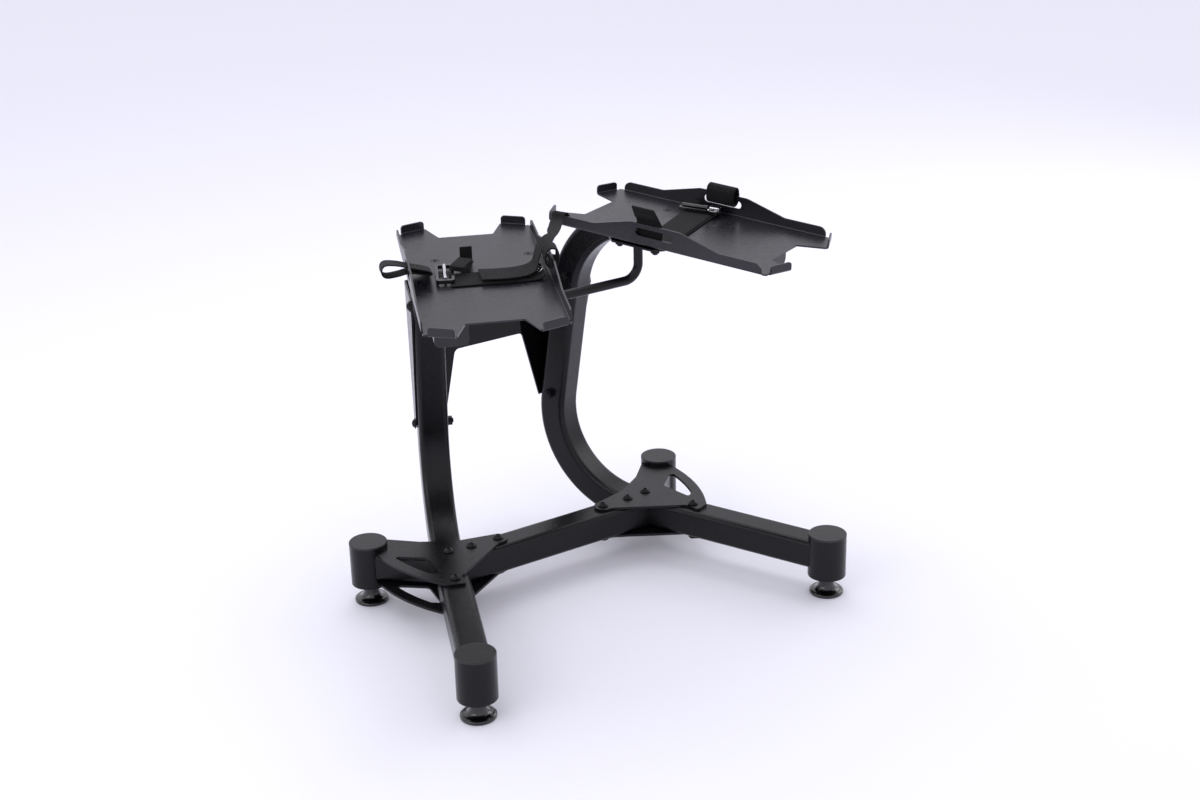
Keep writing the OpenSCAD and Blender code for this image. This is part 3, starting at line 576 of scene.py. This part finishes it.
# %% Rows of stitches
def pods(name, centres, along, up, length=2.4 * MM, thick=0.75 * MM, rings=5, sides=6):
    """Pod: radius = thick / 2 * sin t at length / 2 * cos t, t from 0 to 180 degrees.
    All pods at once: centre + along * x + up * y + side * z."""
    t = np.linspace(0, math.pi, rings)[:, None]
    a = np.linspace(0, math.tau, sides, endpoint=False)[None, :]
    x = length / 2 * np.cos(t) + 0 * a
    y, z = thick / 2 * np.sin(t) * np.cos(a), thick / 2 * np.sin(t) * np.sin(a)
    points = centres[:, None, None]
    for axis, amount in ((along, x), (up, y), (np.cross(along, up), z)):
        points = points + axis[:, None, None] * amount[None, ..., None]
    i, j = np.meshgrid(np.arange(rings - 1), np.arange(sides), indexing="ij")
    beside = (j + 1) % sides
    quad = np.stack([
        i * sides + j, i * sides + beside, (i + 1) * sides + beside, (i + 1) * sides + j], axis=-1)
    first = np.arange(len(centres))[:, None, None] * rings * sides
    faces = (quad.reshape(1, -1, 4) + first).reshape(-1, 4)
    mesh = bpy.data.meshes.new(name)
    mesh.from_pydata(points.reshape(-1, 3).tolist(), [], faces.tolist())
    finish_mesh(mesh)
    piece = bpy.data.objects.new(name, mesh)
    bpy.context.scene.collection.objects.link(piece)
    mesh.materials.append(thread)
    print(name, len(centres), "stitches")
    return settle(piece, slot="webbing")


def stitch_row(where, at, wide, lift, face=1, pitch=3.4 * MM, margin=4 * MM):
    """A row straight across a ribbon, at the share `at` of its length and `lift` off its middle."""
    p, side, up = where
    n = int(at * (len(p) - 1))
    offsets = np.arange(-wide / 2 + margin, wide / 2 - margin + 1e-9, pitch)[:, None]
    centres = p[n] + side[n] * offsets + up[n] * face * lift
    return centres, np.tile(side[n], (len(offsets), 1)), np.tile(up[n] * face, (len(offsets), 1))


def sewn(name, where, places, wide, thick=WEBBING):
    """The same rows on both faces."""
    rows = [stitch_row(where, at, wide * MM, thick / 2, face) for at in places for face in (-1, 1)]
    return pods(name, *(np.concatenate(parts) for parts in zip(*rows)))


sewn("right_floor_stitches", band_frame, (0.93, 0.955, 0.98), 46)
sewn("right_anchor_stitches", loop_frame, (0.62, 0.66, 0.97), 44, TURN)
sewn("right_end_stitches", tail_frame, (0.66, 0.93), 38, HEM)
sewn("left_floor_stitches", left_frame, (0.03, 0.06), 46)
sewn("left_outer_stitches", outer_frame, (0.02, 0.06, 0.72, 0.76), 46)
sewn("left_end_stitches", tab_frame, (0.14, 0.86), 17, TURN)
sewn("left_hung_stitches", hung_frame, (0.05, 0.08, 0.93), 22)

# %% [markdown]
# ## Eyelet and buckle hardware
# A pressed eyelet guards the hole in the left webbing, and each buckle carries a loose roller that
# the webbing slides over. The eyelet is a ring turned from a small arched profile. The roller is
# turned too, and the bright end clip is a rounded block: a ball whose sine and cosine are raised
# to a low power, which squares it.

# %% Turned and squared pieces
def turned_piece(name, profile, centre, axis, start, material, slot):
    """Profile is closed radius and height pairs: point = centre + radius * (cos a, sin a) in the
    plane of start and axis x start, + height * axis."""
    a = np.linspace(0, math.tau, 48, endpoint=False)[:, None, None]
    axis, start = (np.asarray(x, float) / np.linalg.norm(x) for x in (axis, start))
    start = start - axis * (start @ axis)
    start /= np.linalg.norm(start)
    other = np.cross(axis, start)
    r, h = np.asarray(profile, float).T[:, None, :, None] * MM
    points = centre + r * (np.cos(a) * start + np.sin(a) * other) + h * axis
    return settle(grid_object(name, points, material, close_along=True), slot=slot)


def squared_ball(name, centre, axes, half, power, material, slot):
    """x, y, z = cos t * cos a, cos t * sin a and sin t, each factor raised to the power with its
    sign kept, times the half sizes."""
    t = np.linspace(-math.pi / 2, math.pi / 2, 25)[:, None]
    a = np.linspace(0, math.tau, 40, endpoint=False)[None, :]

    def squared(x):
        return np.sign(x) * np.abs(x) ** power

    ct, st = squared(np.cos(t).round(9)), squared(np.sin(t))
    local = np.stack([ct * squared(np.cos(a)), ct * squared(np.sin(a)), st + 0 * a], axis=-1)
    points = centre + local * half * MM @ np.asarray(axes)
    return settle(grid_object(name, points, material, caps=False), slot=slot)


# The eyelet lies on the last stretch of the left strap's floor band, behind its middle line
EYELET_ALONG, EYELET_BEHIND = 0.965, 5 * MM
p, side, up = left_frame
n = int(EYELET_ALONG * (len(p) - 1))
u_front, _, h_up = TRAYS["left"][1]
eyelet_up = up[n] * np.sign(up[n] @ h_up)
eyelet_at = p[n] - side[n] * np.sign(side[n] @ u_front) * EYELET_BEHIND + eyelet_up * 0.9 * MM
arch = np.radians(np.linspace(0, 180, 9))
ring = [(5.0 - 1.9 * math.cos(x), 1.1 * math.sin(x)) for x in arch] + [(6.9, -0.3), (3.1, -0.3)]
turned_piece("left_strap_eyelet", ring, eyelet_at, eyelet_up, u_front, bright_steel, "bright_metal")


def roller(name, side, at, turn, length, radius, material, slot):
    """A rod with rounded ends: the profile is a quarter circle, a straight and a quarter circle.
    Its end faces close round a pinhole, because a profile may not touch the axis."""
    c, s = math.cos(math.radians(turn)), math.sin(math.radians(turn))
    axis = along_tray(side, (c, s, 0))
    quarter = np.radians(np.linspace(0, 90, 6))
    edge, pinhole, half = 1.2, 0.02, length / 2
    end = [(radius - edge + edge * math.sin(x), half - edge + edge * math.cos(x)) for x in quarter]
    profile = [(pinhole, half), *end, *((r, -h) for r, h in end[::-1]), (pinhole, -half)]
    start = along_tray(side, (0, 0, 1))
    return turned_piece(name, profile, on_tray(side, at), axis, start, material, slot)


roller("right_buckle_roller", "right", (-33, 72.4, 10.4), 12, 42, 3.6, buckle_plastic, "gloss_plastic")
clip_axes = [along_tray("right", d) for d in ((0.978, 0.208, 0), (-0.208, 0.978, 0), (0, 0, 1))]
squared_ball("right_buckle_clip", on_tray("right", (-1.5, 79, 10.2)), clip_axes, (8.5, 6.5, 4.6), 0.35,
             bright_steel, "bright_metal")
roller("left_buckle_roller", "left", (-5, 49, 9.0), 4, 50, 2.6, bright_steel, "bright_metal")
print("hardware done")

# %% [markdown]
# ## Floor and light
# The stand is shown in a white cove: a pale floor that runs out of view and large soft lamps. One
# big softbox overhead makes the broad sheen on the trays, a tall one on each side draws the pale
# bands down the tubes, and the white surroundings keep the black from closing up. The plain sRGB
# view is used, because a film-like one would turn the white cove grey.

# %% Floor
FLOOR = 14
CORNERS = ((-1, -1), (1, -1), (1, 1), (-1, 1))
white_paper, _, shader, _ = new_material("white_paper")
shader.inputs["Base Color"].default_value = linear("efeff8")
shader.inputs["Roughness"].default_value = 0.7
mesh = bpy.data.meshes.new("floor")
mesh.from_pydata([(x * FLOOR, y * FLOOR, 0) for x, y in CORNERS], [], [(0, 1, 2, 3)])
floor = bpy.data.objects.new("floor", mesh)
bpy.context.scene.collection.objects.link(floor)
mesh.materials.append(white_paper)
print("floor", FLOOR * 2, "m square")

# %% Lights
bpy.context.scene.view_settings.view_transform = "Standard"
world = bpy.data.worlds.new("white_room")
world.use_nodes = True
room = world.node_tree.nodes["Background"]
room.inputs["Color"].default_value, room.inputs["Strength"].default_value = linear("f7f6fe"), 1.0
bpy.context.scene.world = world


def softbox(name, place, aim, size, watts):
    """An area lamp shines along -Z, so its back is the direction from the aim to its place."""
    lamp = bpy.data.objects.new(name, bpy.data.lights.new(name, "AREA"))
    lamp.data.shape, lamp.data.energy = "RECTANGLE", watts
    lamp.data.size, lamp.data.size_y = size
    back = np.array(place, float) - np.array(aim, float)
    back /= np.linalg.norm(back)
    right = np.cross((0.001, 1, 0), back)
    right /= np.linalg.norm(right)
    turn = np.stack([right, np.cross(back, right), back], axis=1)
    lamp.matrix_world = Matrix.Translation(place) @ Matrix(turn.tolist()).to_4x4()
    bpy.context.scene.collection.objects.link(lamp)


softbox("overhead", (0.2, 0.9, 2.9), (0, 0, 0.4), (2.4, 1.8), 20)
softbox("left_side", (-2.6, -0.4, 1.7), (0, 0, 0.35), (1.2, 2.0), 13)
softbox("right_side", (2.7, 0.2, 1.5), (0, 0, 0.35), (1.2, 2.0), 11)
print("lights", len(bpy.data.lights))
